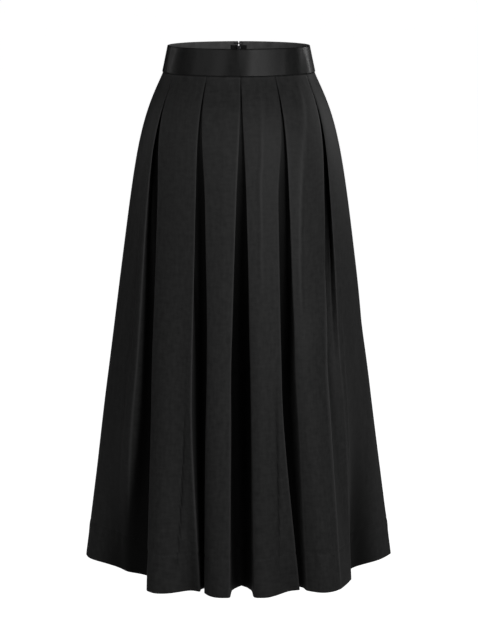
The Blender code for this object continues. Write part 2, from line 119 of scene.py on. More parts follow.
# A row for each pleat, from the centre back round by the -X side: its edges as angles, and how
# far inside the outline its valley is at the knee and all its points are at the hem, how far
# cloth is folded away behind each edge, and how far the panel after it dips at three places.
# Angles are in degrees and lengths in millimetres.
FOLD_COLUMNS = (
    "waist hip_left hip_right knee_left knee_right knee_valley_in knee_tuck "
    "hem_left hem_left_in hem_valley hem_valley_in hem_right hem_right_in tuck_left tuck_right "
    "dip_1 dip_2 dip_3"
).split()
FOLD_ROWS = (
    (-164.3, -166, -161, -166, -158, 46, 10, -167, 4, -161, 56, -155, 4, 10, 10, 2, -3, 3),
    (-131, -135, -130, -138, -130, 42, 10, -140, 4, -133, 60, -127, 4, 10, 10, -3, 4, 2),
    (-98, -101, -96, -104, -96, 42, 10, -112, 6, -103, 52, -93, -2, 8, 6, -2, 14, 15),
    (-57, -54.8, -47.1, -50.5, -40.6, 48, 10, -61, 49, -47, 62, -35.5, 1, 2, 8, -10, -5, 15),
    (-24.4, -22.2, -17.8, -20, -14, 56, 10, -15.8, 28, -15, 50, -14.2, 25, 5, 5, -6, -7, -4),
    (1.5, -1.1, 3.5, -3.1, 4.9, 70, 10, -3, 6, 1.6, 72, 5.3, 5, 8, 8, -5, 3, 10),
    (28.2, 20.9, 26.6, 18.9, 25.1, 56, 10, 25.8, 26, 26.5, 48, 27.2, 19, 5, 5, -12, -11, -6),
    (60.9, 51.1, 56.2, 41, 50.4, 9, 0, 39.5, -1, 45.6, 12, 51.9, 24, 0, 0, 44, 45, 18),
    (98, 96, 101, 96, 104, 42, 10, 93, -2, 103, 52, 112, 6, 6, 8, 0, 0, 0),
    (131, 130, 135, 130, 138, 46, 10, 127, 4, 133, 60, 140, 4, 10, 10, 3, -3, 4),
    (164.3, 161, 166, 158, 166, 42, 10, 155, 4, 161, 56, 167, 4, 10, 10, -2, 0, -2),
)
DIP_AT_KNEE = 0.3
fold = dict(zip(FOLD_COLUMNS, np.array(FOLD_ROWS, float).T))
FOLDS = len(FOLD_ROWS)


def half_width(depth):
    """Half the width: a straight flare, less a tuck at the waist that fades as an exponential."""
    below = np.maximum(depth - BAND_HEIGHT, 0.0)
    flared = HEM_HALF_WIDTH - SIDE_FLARE * (LENGTH - depth)
    cloth = flared - HIP_TUCK * np.exp(-((below / HIP_FADE) ** HIP_POWER))
    seam = HEM_HALF_WIDTH - SIDE_FLARE * (LENGTH - BAND_HEIGHT) - HIP_TUCK
    band = WAIST_HALF_WIDTH + (seam - WAIST_HALF_WIDTH) * depth / BAND_HEIGHT
    return np.where(depth < BAND_HEIGHT, band, cloth)


def half_depth(depth, behind):
    """Half the depth: in step with the width, plus a bell curve over the seat behind."""
    share = (half_width(depth) - WAIST_HALF_WIDTH) / (HEM_HALF_WIDTH - WAIST_HALF_WIDTH)
    plain = WAIST_HALF_DEPTH + share * (HEM_HALF_DEPTH - WAIST_HALF_DEPTH)
    seat = SEAT_FULLNESS * np.exp(-(((depth - SEAT_DEPTH) / SEAT_REACH) ** 2))
    return plain + np.where(behind, seat, 0.0)


def outline_point(angle, inside, depth):
    """Points of an oval, (a sin t, -b cos t), each moved in along its own radius."""
    turn = np.radians(angle)
    across = half_width(depth) * np.sin(turn)
    along = -half_depth(depth, np.cos(turn) < 0) * np.cos(turn)
    scale = 1 - inside / np.hypot(across, along)
    return np.stack(np.broadcast_arrays(across * scale, along * scale), axis=-1)


def unit(vectors):
    return vectors / np.linalg.norm(vectors, axis=-1, keepdims=True)


def at_depth(values, depth):
    """A smooth step-free curve through values at LEVELS: cubic pieces with harmonic mean slopes.

    values is one row for each level. depth is a flat array, and a row comes back for each.
    """
    values = np.stack([np.broadcast_to(np.asarray(row, float), (FOLDS,)) for row in values])
    slopes = np.diff(values, axis=0) / np.diff(LEVELS)[:, None]
    agree = slopes[1:] * slopes[:-1] > 0
    both = np.where(agree, slopes[1:] + slopes[:-1], 1.0)
    inner = np.where(agree, 2 * slopes[1:] * slopes[:-1] / both, 0.0)
    tangents = np.concatenate([slopes[:1], inner, slopes[-1:]])
    above = np.clip(np.searchsorted(LEVELS, depth) - 1, 0, len(LEVELS) - 2)
    below = above + 1
    span = (LEVELS[below] - LEVELS[above])[:, None]
    share = np.clip((depth[:, None] - LEVELS[above][:, None]) / span, 0.0, 1.0)
    start = values[above] * (1 + 2 * share) + tangents[above] * span * share
    end = values[below] * (3 - 2 * share) + tangents[below] * span * (share - 1)
    return start * (1 - share) ** 2 + end * share * share


def round_corner(before, here, after, radius, inwards):
    """Three points about a fold's corner, each end a radius away along its side. Where the cloth
    turns right back, the far end moves inwards until the two are one layer apart."""
    ends = []
    for other in (before, after):
        reach = np.linalg.norm(other - here, axis=-1, keepdims=True)
        ends.append(here + (other - here) * np.minimum(radius[..., None] / reach, CORNER_SHARE))
    first, last = ends
    apart = np.linalg.norm(last - first, axis=-1, keepdims=True)
    short = np.maximum(LAYER_STEP - apart, 0.0)
    return first, here + inwards * short / 2, last + inwards * short


def fold_side(side, angle, inside, panel, valley, valley_in, tuck, radius, depth):
    """Six points from a panel round its edge and its tuck to the valley. The tuck is blended
    from one pressed along the outline to one that stands square to the edge-to-valley line."""
    column = depth[:, None]
    edge = outline_point(angle, inside, column)
    inwards = -unit(edge)
    along = side * np.stack([inwards[..., 1], -inwards[..., 0]], axis=-1)
    chord = unit(valley - edge)
    square = np.stack([-chord[..., 1], chord[..., 0]], axis=-1)
    square = square * np.sign((square * along).sum(axis=-1, keepdims=True))
    one_degree = outline_point(angle + side, inside, column) - edge
    turn = side * tuck / np.linalg.norm(one_degree, axis=-1)
    pressed = outline_point(angle + turn, (inside + valley_in) / 2, column)
    free = (edge + valley) / 2 + tuck[..., None] * square
    share = at_depth(PRESSED, depth)[..., None]
    tucked = share * pressed + (1 - share) * free
    edge_points = round_corner(panel, edge, tucked, radius, inwards)
    fold_points = round_corner(edge_points[2], tucked, valley, radius, -unit(tucked))
    return [*edge_points, *fold_points]


def guides(depth):
    """The guide points of closed rings of cloth, 16 for each pleat and the panel after it."""
    column = depth[:, None]
    sewn_left, sewn_right = fold["waist"] - MOUTH_CLOSED, fold["waist"] + MOUTH_CLOSED
    seam_left, seam_right = fold["waist"] - MOUTH_AT_SEAM, fold["waist"] + MOUTH_AT_SEAM
    left = at_depth(
        [seam_left, sewn_left, fold["hip_left"], fold["knee_left"], fold["hem_left"]], depth
    )
    right = at_depth(
        [seam_right, sewn_right, fold["hip_right"], fold["knee_right"], fold["hem_right"]], depth
    )
    lean = fold["hem_valley"] - (fold["hem_left"] + fold["hem_right"]) / 2
    lean = at_depth([0, 0, 0, 0, lean], depth)
    left_in = at_depth([0, 0, 0, 0, fold["hem_left_in"] / 1000], depth)
    right_in = at_depth([0, 0, 0, 0, fold["hem_right_in"] / 1000], depth)
    valley_in = at_depth(
        [*VALLEYS, fold["knee_valley_in"] / 1000, fold["hem_valley_in"] / 1000], depth
    )
    knee_tuck = fold["knee_tuck"] / 1000
    tuck_left = at_depth([*TUCKS, knee_tuck, fold["tuck_left"] / 1000], depth)
    tuck_right = at_depth([*TUCKS, knee_tuck, fold["tuck_right"] / 1000], depth)
    tuck_left[:, 0] = np.minimum(tuck_left[:, 0], ZIP_SIDE_TUCK)
    tuck_right[:, -1] = np.minimum(tuck_right[:, -1], ZIP_SIDE_TUCK)

    valley = outline_point((left + right) / 2 + lean, valley_in, column)
    once_round = np.where(np.arange(FOLDS) == FOLDS - 1, 360.0, 0.0)
    next_left = np.roll(left, -1, axis=1) + once_round
    next_in = np.roll(left_in, -1, axis=1)
    crown = PANEL_CROWN * np.maximum(column - LEVELS[1], 0.0) / (LENGTH - LEVELS[1])
    panels = []
    for share, dip in zip(PANEL_SHARES, ("dip_1", "dip_2", "dip_3")):
        inside = right_in + share * (next_in - right_in) - crown * 4 * share * (1 - share)
        hem_dip = fold[dip] / 1000
        inside = inside + at_depth([0, 0, 0, DIP_AT_KNEE * hem_dip, hem_dip], depth)
        panels.append(outline_point(right + share * (next_left - right), inside, column))
    before = np.roll(panels[-1], 1, axis=1)
    radius_left, radius_right = at_depth(CORNER_LEFT, depth), at_depth(CORNER_RIGHT, depth)
    for row, side, times in CORNERS_SOFTENED:
        share = np.clip((depth - LEVELS[1]) / (LEVELS[2] - LEVELS[1]), 0, 1)
        (radius_left, radius_right)[side][:, row] *= 1 + (times - 1) * share
    left_side = fold_side(
        -1, left, left_in, before, valley, valley_in, tuck_left, radius_left, depth
    )
    right_side = fold_side(
        1, right, right_in, panels[0], valley, valley_in, tuck_right, radius_right, depth
    )
    points = np.stack([*left_side, valley, *right_side[::-1], *panels], axis=2)
    return points.reshape(len(depth), -1, 2)


def smooth_rings(points, places):
    """Uniform cubic B-splines through closed rings of guides, read at places given in guides."""
    span = np.floor(places).astype(int)
    way = places - span
    weights = (
        (1 - way) ** 3 / 6,
        (3 * way**3 - 6 * way**2 + 4) / 6,
        (-3 * way**3 + 3 * way**2 + 3 * way + 1) / 6,
        way**3 / 6,
    )
    near = [np.take(points, span + shift, axis=1, mode="wrap") for shift in (-1, 0, 1, 2)]
    return sum(weight[:, None] * part for weight, part in zip(weights, near))


# Kinks of the waistband, each a rounded roof: its angles at the band's top and foot, then how
# sharp, high and long it is. KINK_DIP is how much of it sinks again beside the roof. Long waves
# besides have ranges of waves round the band, radians to a metre down it, and sizes.
BAND_KINKS = (
    (-1.5, 0.6, 0.0022, 0.0013, 0.018),
    (37.0, 32.0, 0.0030, -0.0006, 0.011),
    (62.0, 66.0, 0.0030, 0.0009, 0.014),
    (-71.0, -68.0, 0.0030, 0.0008, 0.014),
    (118.0, 113.0, 0.0030, -0.0008, 0.016),
    (-139.0, -134.0, 0.0030, 0.0009, 0.016),
)
KINK_DIP = 0.45
BAND_WAVES = 12
BAND_WAVE_SEED = 3
BAND_WAVES_ROUND = (5, 26)
BAND_WAVES_DOWN = (10, 70)
BAND_WAVE_SIZES = (0.00003, 0.0001)
girth = 2 * math.pi * math.sqrt((WAIST_HALF_WIDTH**2 + WAIST_HALF_DEPTH**2) / 2)


def band_swell(angle, depth):
    """How far the band stands out, from its kinks, each a rounded roof, and a few long waves."""
    out = np.zeros(np.broadcast(angle, depth).shape)
    for top, bottom, sharp, height, reach in BAND_KINKS:
        middle = top + (bottom - top) * depth / BAND_HEIGHT
        away = (angle - middle) / 360 * girth
        roof = np.sqrt(away**2 + sharp**2) - sharp
        dip = 1 - KINK_DIP + KINK_DIP * np.cos(away / reach)
        out += height * np.exp(-roof / reach) * dip
    chance = np.random.default_rng(BAND_WAVE_SEED)
    for _ in range(BAND_WAVES):
        across, down = chance.integers(*BAND_WAVES_ROUND), chance.uniform(*BAND_WAVES_DOWN)
        phase, size = chance.uniform(0, 2 * math.pi), chance.uniform(*BAND_WAVE_SIZES)
        out += size * np.sin(np.radians(angle) * across + down * depth + phase)
    return out


def sewn_to_band(rings, depth):
    """Rings whose top moves out with the waistband's swell, as cloth sewn into the band does."""
    turn = np.arctan2(rings[..., 0] / WAIST_HALF_WIDTH, -rings[..., 1] / WAIST_HALF_DEPTH)
    below = np.clip((depth - BAND_HEIGHT) / BAND_PULL, 0, 1)[:, None]
    out = band_swell(np.degrees(turn), BAND_HEIGHT) * (1 - below) ** 2
    return rings + unit(rings) * out[..., None]


def inwards_of(rings):
    """The inward direction at each point of closed rings, midway between those of its sides."""
    ahead = unit(np.roll(rings, -1, axis=1) - rings)
    ahead = unit(ahead + np.roll(ahead, 1, axis=1))
    return np.stack([-ahead[..., 1], ahead[..., 0]], axis=-1)


# Where the rings are read: closely on the panels and the corners, less so inside the pleats. A
# row has the guide that a stretch starts at, the one it stops at, and its number of columns.
STRETCHES = ((0, 3, 9), (3, 10, 7), (10, 12, 6), (12, 16, 36))
fold_places = np.concatenate(
    [np.linspace(start, stop, count, endpoint=False) for start, stop, count in STRETCHES]
)
places = (np.arange(FOLDS)[:, None] * GUIDES_PER_FOLD + fold_places).ravel()


def column_at(guide):
    """The column read nearest to a place given in guides."""
    return int(np.abs(places - guide).argmin())


# Creases of the hanging cloth, each a soft ridge or trough of bell-shaped section that fades out
# at both ends. pleat is its number, and top, middle and foot are its places in that pleat's 16
# guides, where the panel runs from 12 to 16. start and end are depths in metres.
CREASE_COLUMNS = "pleat top middle foot start end half_width_mm height_mm".split()
CREASES = (
    (2, 15.0, 14.7, 14.4, 0.30, 0.80, 22, -5.0),
    (2, 15.6, 15.4, 15.2, 0.20, 0.78, 7, -2.5),
    (3, 14.3, 14.5, 14.7, 0.08, 0.15, 3, -0.5),
    (3, 15.55, 14.95, 14.3, 0.585, 0.88, 2.2, -2.2),
    (4, 14.4, 14.4, 14.4, 0.08, 0.50, 7, 0.5),
    (5, 14.1, 13.8, 13.7, 0.05, 0.40, 4.5, 1.4),
    (5, 15.35, 14.95, 14.2, 0.55, 0.86, 2.2, -2.6),
    (6, 14.5, 13.0, 12.7, 0.05, 0.45, 4.5, 2.0),
    (6, 14.0, 13.0, 12.2, 0.04, 0.13, 6, -0.9),
    (7, 0.9, 0.7, 0.7, 0.36, 0.88, 3.0, 2.2),
    (7, 12.5, 12.2, 12.6, 0.42, 0.86, 2.8, 1.6),
    (7, 14.2, 14.4, 14.5, 0.30, 0.86, 14, -1.8),
    (8, 14.0, 14.3, 14.5, 0.08, 0.62, 8, 0.9),
    (9, 13.6, 13.8, 14.2, 0.35, 0.88, 4, -1.3),
    (10, 13.4, 13.3, 13.1, 0.30, 0.80, 9, 0.9),
    (10, 15.2, 15.0, 14.8, 0.50, 0.88, 4, -1.2),
    (0, 14.3, 14.0, 13.8, 0.07, 0.48, 7, 0.8),
    (1, 14.6, 14.4, 14.0, 0.40, 0.87, 5, -1.4),
)
CREASE_FADE = 0.7

# Painted shade and highlight: a sharp trough is painted darker along its bottom, where shade falls,
# and a high ridge is painted paler along its top, as a highlight.
SHARP_CREASE = 2.0
WIDEST_SHARP = 2.5
CREASE_PAINTED_SHADE = 0.8
BOTTOM_SHARE = 1 / 2
RIDGE_SHINES = 1.3
SHINE_PER_MM = 0.25
TOP_SHARE = 1 / 1.6

# Painted highlights also run along the pleats' edges, below their stitching: the edge's guide, and
# how strongly.
EDGE_SHINE = ((1, 0.6), (11, 0.35))
EDGE_REACH = 0.0016
SHINE_BELOW = 0.01
SHINE_FADE = 0.06

# Long waves of the cloth and puckers of the hem's sewing: how many, then the least and most of
# their waves to a metre across and down, in radians, of their slant, and of their size.
CLOTH_SEED = 7
WAVES = 26
WAVES_ACROSS = (14, 60)
WAVES_DOWN = (2.0, 9.0)
WAVE_SLANTS = (-6, 6)
WAVE_SIZES = (0.00004, 0.00016)
CALM_DEPTH = 0.05
CALM_FADE = 0.1
CALM_SHARE = 0.2
HEM_MARK = 0.00055
HEM_MARK_REACH = 0.0025
PUCKERS = 10
PUCKERS_ACROSS = (180, 420)
PUCKER_SLANTS = (-60, 60)
PUCKER_SIZES = (0.00006, 0.00018)
PUCKER_REACH = 0.014

# Painted shade: the cloth is painted darker over a stretch of distances inside the outline, for the
# shade deep in the pleats. Each end of it is given at the waist and at the hem. In one pleat,
# guides 48 to 60, the stretch is shorter.
PLEAT_SHADE_FROM = (0.001, 0.016)
PLEAT_SHADE_TO = (0.007, 0.050)
PLEAT_SHADE_SOONER = ((48, 52, 58, 60), (1.0, 0.35, 0.35, 1.0))


def bell(distance, reach):
    return np.exp(-((distance / reach) ** 2))


def creased(rings, inwards, depth):
    """Rings moved in and out by the creases, by a slight unevenness, a sum of long waves, and
    along the top of the turned-up hem by the mark and the small puckers that its sewing leaves.
    With them come two grids from 0 to 1: how much painted shade each point gets along the bottom of
    a sharp crease, and how much painted highlight it gets on a pleat's edge or the top of a ridge."""
    steps = np.linalg.norm(np.diff(rings, axis=1, append=rings[:, :1]), axis=-1)
    around = np.cumsum(steps, axis=1) - steps
    out = np.zeros(rings.shape[:2])
    # Two grids of painted light: shade along crease bottoms, and highlights on the pleats' edges
    # and ridges.
    crease_shade = np.zeros(rings.shape[:2])
    pressed = np.zeros(rings.shape[:2])
    rows = np.arange(len(depth))
    for number in range(FOLDS):
        for corner, shine in EDGE_SHINE:
            edge = around[:, column_at(number * GUIDES_PER_FOLD + corner)][:, None]
            pressed += shine * bell(around - edge, EDGE_REACH)
    pressed *= np.clip((depth[:, None] - LEVELS[1] - SHINE_BELOW) / SHINE_FADE, 0, 1)
    for row in CREASES:
        crease = dict(zip(CREASE_COLUMNS, row))
        first = crease["pleat"] * GUIDES_PER_FOLD
        top, middle, foot = (first + crease[place] for place in ("top", "middle", "foot"))
        share = np.clip((depth - crease["start"]) / (crease["end"] - crease["start"]), 0, 1)
        bend = 4 * share * (1 - share)
        guide = top + (foot - top) * share + bend * (middle - (top + foot) / 2)
        centre = around[rows, np.abs(places - guide[:, None]).argmin(axis=1)]
        distance = around - centre[:, None]
        fade = (np.sin(math.pi * share) ** CREASE_FADE)[:, None]
        high, reach = crease["height_mm"], crease["half_width_mm"] / 1000
        out += high / 1000 * fade * bell(distance, reach)
        # Painted shade along a sharp trough's bottom, and a painted highlight along a high ridge's
        # top.
        if high < -SHARP_CREASE and crease["half_width_mm"] < WIDEST_SHARP:
            crease_shade += CREASE_PAINTED_SHADE * fade * bell(distance, reach * BOTTOM_SHARE)
        if high > RIDGE_SHINES:
            pressed += high * SHINE_PER_MM * fade * bell(distance, reach * TOP_SHARE)
    chance = np.random.default_rng(CLOTH_SEED)
    calm = np.clip((depth[:, None] - CALM_DEPTH) / CALM_FADE, CALM_SHARE, 1)
    for _ in range(WAVES):
        across, down = chance.uniform(*WAVES_ACROSS), chance.uniform(*WAVES_DOWN)
        phase, size = chance.uniform(0, 2 * math.pi), chance.uniform(*WAVE_SIZES)
        slant = chance.uniform(*WAVE_SLANTS)
        wave = across * around + (down + slant) * depth[:, None] + phase
        out += size * np.sin(wave) * calm
    from_hem_line = depth[:, None] - (LENGTH - HEM_TURN)
    out -= HEM_MARK * bell(from_hem_line, HEM_MARK_REACH)
    for _ in range(PUCKERS):
        across, slant = chance.uniform(*PUCKERS_ACROSS), chance.uniform(*PUCKER_SLANTS)
        phase, size = chance.uniform(0, 2 * math.pi), chance.uniform(*PUCKER_SIZES)
        wave = across * around + slant * depth[:, None] + phase
        out += size * np.sin(wave) * bell(from_hem_line - PUCKER_REACH / 2, PUCKER_REACH)
    return rings - inwards * out[..., None], crease_shade, np.clip(pressed, 0, 1)


def painted_fold_shade(plan, depth, guide):
    """How much shade is painted on the cloth: 0 near the skirt's outline to 1 deep in a pleat, as a
    smooth step of the distance inside.
    The pleats grow deeper down the skirt, so the step's two ends do too."""
    turn = np.arctan2(plan[..., 0] / half_width(depth), -plan[..., 1] / half_depth(depth, False))
    rim = outline_point(np.degrees(turn), 0.0, depth)
    inside = np.linalg.norm(rim, axis=-1) - np.linalg.norm(plan, axis=-1)
    down = depth / LENGTH
    start = PLEAT_SHADE_FROM[0] + (PLEAT_SHADE_FROM[1] - PLEAT_SHADE_FROM[0]) * down
    end = PLEAT_SHADE_TO[0] + (PLEAT_SHADE_TO[1] - PLEAT_SHADE_TO[0]) * down
    inside = inside / np.interp(guide, *PLEAT_SHADE_SOONER)
    share = np.clip((inside - start) / (end - start), 0, 1)
    return share * share * (3 - 2 * share)


def add_mesh(name, points, faces, uv=None):
    """A mesh object at the origin from a grid's points and four-sided faces."""
    mesh = bpy.data.meshes.new(name)
    mesh.vertices.add(len(points))
    mesh.vertices.foreach_set("co", np.asarray(points, np.float32).ravel())
    mesh.loops.add(faces.size)
    mesh.loops.foreach_set("vertex_index", faces.astype(np.int32).ravel())
    mesh.polygons.add(len(faces))
    mesh.polygons.foreach_set("loop_start", np.arange(len(faces), dtype=np.int32) * faces.shape[1])
    mesh.update(calc_edges=True)
    mesh.validate()
    if uv is not None:
        layer = mesh.uv_layers.new(name="cloth")
        layer.data.foreach_set("uv", np.asarray(uv, np.float32)[faces.ravel()].ravel())
    mesh.shade_smooth()
    made = bpy.data.objects.new(name, mesh)
    bpy.context.scene.collection.objects.link(made)
    return made


def grid_faces(rows, columns, closed=False):
    """The faces of a grid of rows and columns, whose columns join up again where it is closed."""
    number = np.arange(rows * columns).reshape(rows, columns)
    if closed:
        number = np.hstack([number, number[:, :1]])
    corners = [number[:-1, :-1], number[1:, :-1], number[1:, 1:], number[:-1, 1:]]
    return np.stack(corners, axis=-1).reshape(-1, 4)


def close_ends(made):
    """Fills the open ends of a tube with a face each and points every face outwards."""
    shape = bmesh.new()
    shape.from_mesh(made.data)
    rims = [edge for edge in shape.edges if edge.is_boundary]
    bmesh.ops.holes_fill(shape, edges=rims, sides=0)
    bmesh.ops.recalc_face_normals(shape, faces=shape.faces)
    shape.to_mesh(made.data)
    shape.free()


def colour(hex_value):
    """An sRGB hex colour as linear red, green, blue and alpha."""
    parts = np.array([int(hex_value[place : place + 2], 16) for place in (1, 3, 5)]) / 255
    linear = np.where(parts <= 0.04045, parts / 12.92, ((parts + 0.055) / 1.055) ** 2.4)
    return (*linear.tolist(), 1.0)


def add_node(tree, kind, settings, links):
    """A shader node. Settings are input values or properties, and links name other nodes' outputs.
    An input or output is named by its place, its name or its identifier."""
    node = tree.nodes.new(kind)

    def socket(group, key):
        if isinstance(key, int):
            return group[key]
        found = [one for one in group if key in (one.identifier, one.name) and one.enabled]
        return found[0] if found else None

    for key, value in settings.items():
        if socket(node.inputs, key) is None:
            setattr(node, key, value)
        else:
            socket(node.inputs, key).default_value = value
    for key, (source, output) in links.items():
        tree.links.new(socket(source.outputs, output), socket(node.inputs, key))
    return node


def new_material(name):
    made = bpy.data.materials.new(name)
    made.use_nodes = True
    made.node_tree.nodes.clear()
    return made, made.node_tree


def mix_tones(tree, dark, light, factor):
    """Two colours, mixed by another node's output."""
    return add_node(
        tree,
        "ShaderNodeMix",
        {"data_type": "RGBA", "A_Color": colour(dark), "B_Color": colour(light)},
        {"Factor_Float": factor},
    )


def add_surface(tree, settings, links):
    """The end of a material: a principled shader, joined to the output."""
    shader = add_node(tree, "ShaderNodeBsdfPrincipled", settings, links)
    add_node(tree, "ShaderNodeOutputMaterial", {}, {"Surface": (shader, 0)})


STREAK_SCALES = ((190.0, 50.0, 1.0), (90.0, 170.0, 1.0))
FLOAT_SCALE = (2500.0, 1250.0, 1.0)
ROUGHNESS_CHANGE = 0.03
# Colours painted onto the satin: a paler one for painted highlights on edges and ridges, a near
# black one for painted shade in the pleats, and how much of that shade there is at most.
PAINTED_HIGHLIGHT_TONE = "#4a4a4a"
PAINTED_SHADE_TONE = "#020202"
PAINTED_SHADE_MOST = 0.92


def satin(name, dark, light, roughness, gloss, weave_depth):
    """Polyester satin: a warp-faced weave whose long floats give it a smooth, soft gloss, and
    whose uneven yarns show as faint streaks both ways. The floats, a quarter of a millimetre in
    the cloth, are drawn 0.8 mm long, so that they show near."""
    made, tree = new_material(name)
    uv = add_node(tree, "ShaderNodeUVMap", {"uv_map": "cloth"}, {})
    streaks = []
    for scale in STREAK_SCALES:
        place = add_node(tree, "ShaderNodeMapping", {"Scale": scale}, {"Vector": (uv, 0)})
        streak = add_node(
            tree,
            "ShaderNodeTexNoise",
            {"Scale": 1.0, "Detail": 2.0, "noise_dimensions": "2D"},
            {"Vector": (place, 0)},
        )
        streaks.append((streak, 0))
    both = add_node(tree, "ShaderNodeMath", {"operation": "ADD"}, dict(enumerate(streaks)))
    level = add_node(
        tree, "ShaderNodeMapRange", {"From Min": 0.5, "From Max": 1.5}, {"Value": (both, 0)}
    )
    tone = mix_tones(tree, dark, light, (level, 0))
    sheen_change = add_node(
        tree,
        "ShaderNodeMapRange",
        {"To Min": roughness - ROUGHNESS_CHANGE, "To Max": roughness + ROUGHNESS_CHANGE},
        {"Value": (level, 0)},
    )
    floats = add_node(tree, "ShaderNodeMapping", {"Scale": FLOAT_SCALE}, {"Vector": (uv, 0)})
    weave = add_node(
        tree,
        "ShaderNodeTexVoronoi",
        {"Scale": 1.0, "voronoi_dimensions": "2D"},
        {"Vector": (floats, 0)},
    )
    bump = add_node(
        tree, "ShaderNodeBump", {"Strength": 0.3, "Distance": weave_depth}, {"Height": (weave, 0)}
    )
    warp = add_node(tree, "ShaderNodeTangent", {"direction_type": "UV_MAP", "uv_map": "cloth"}, {})
    # Painted highlight: edges and ridges are painted a little paler where they would catch the
    # light.
    highlight_mask = add_node(tree, "ShaderNodeAttribute", {"attribute_name": "painted_highlight"}, {})
    tone = add_node(
        tree,
        "ShaderNodeMix",
        {"data_type": "RGBA", "B_Color": colour(PAINTED_HIGHLIGHT_TONE)},
        {"Factor_Float": (highlight_mask, "Fac"), "A_Color": (tone, "Result_Color")},
    )
    # Painted shade: cloth deep in a pleat, and along the bottom of a sharp crease, is painted
    # blacker than outside, for the shade that falls there.
    pleat = add_node(tree, "ShaderNodeAttribute", {"attribute_name": "painted_fold_shade"}, {})
    pleat_shade = add_node(
        tree, "ShaderNodeMapRange", {"To Max": PAINTED_SHADE_MOST}, {"Value": (pleat, "Fac")}
    )
    tone = add_node(
        tree,
        "ShaderNodeMix",
        {"data_type": "RGBA", "B_Color": colour(PAINTED_SHADE_TONE)},
        {"Factor_Float": (pleat_shade, 0), "A_Color": (tone, "Result_Color")},
    )
    add_surface(
        tree,
        {
            "IOR": 1.5,
            "Specular IOR Level": gloss,
            "Anisotropic": 0.5,
            "Sheen Weight": 0.03,
            "Sheen Roughness": 0.4,
        },
        {
            "Base Color": (tone, "Result_Color"),
            "Roughness": (sheen_change, 0),
            "Normal": (bump, 0),
            "Tangent": (warp, 0),
        },
    )
    return made


# The right side is softly glossy. The wrong side shows the weft's short floats and is duller.
skirt_satin = satin("polyester_satin_black", "#262626", "#343434", 0.52, 0.16, 0.00005)
satin_back = satin("polyester_satin_wrong_side", "#1c1c1c", "#242424", 0.70, 0.15, 0.00004)

# The rows down the cloth: close below the waistband, about the hem's sewn line and below it.
hem_line = LENGTH - HEM_TURN
low_rows = HEM_ROWS - 3
long_rows = CLOTH_ROWS - TOP_ROWS - len(HEM_LINE_ROWS) - low_rows
cloth_depth = np.concatenate(
    [
        np.linspace(BAND_HEIGHT + SEAM_GAP, TOP_ROWS_END, TOP_ROWS, endpoint=False),
        np.linspace(TOP_ROWS_END, hem_line + HEM_LINE_ROWS[0], long_rows, endpoint=False),
        hem_line + np.array(HEM_LINE_ROWS),
        np.linspace(hem_line + TURNED_FROM, LENGTH, low_rows),
    ]
)
rings = sewn_to_band(smooth_rings(guides(cloth_depth), places), cloth_depth)
# Besides the rings come the painted shade of crease bottoms and the painted highlights of edges and
# ridges.
rings, crease_shade, pressed = creased(rings, inwards_of(rings), cloth_depth)
inwards = inwards_of(rings)
ROUND = rings.shape[1]


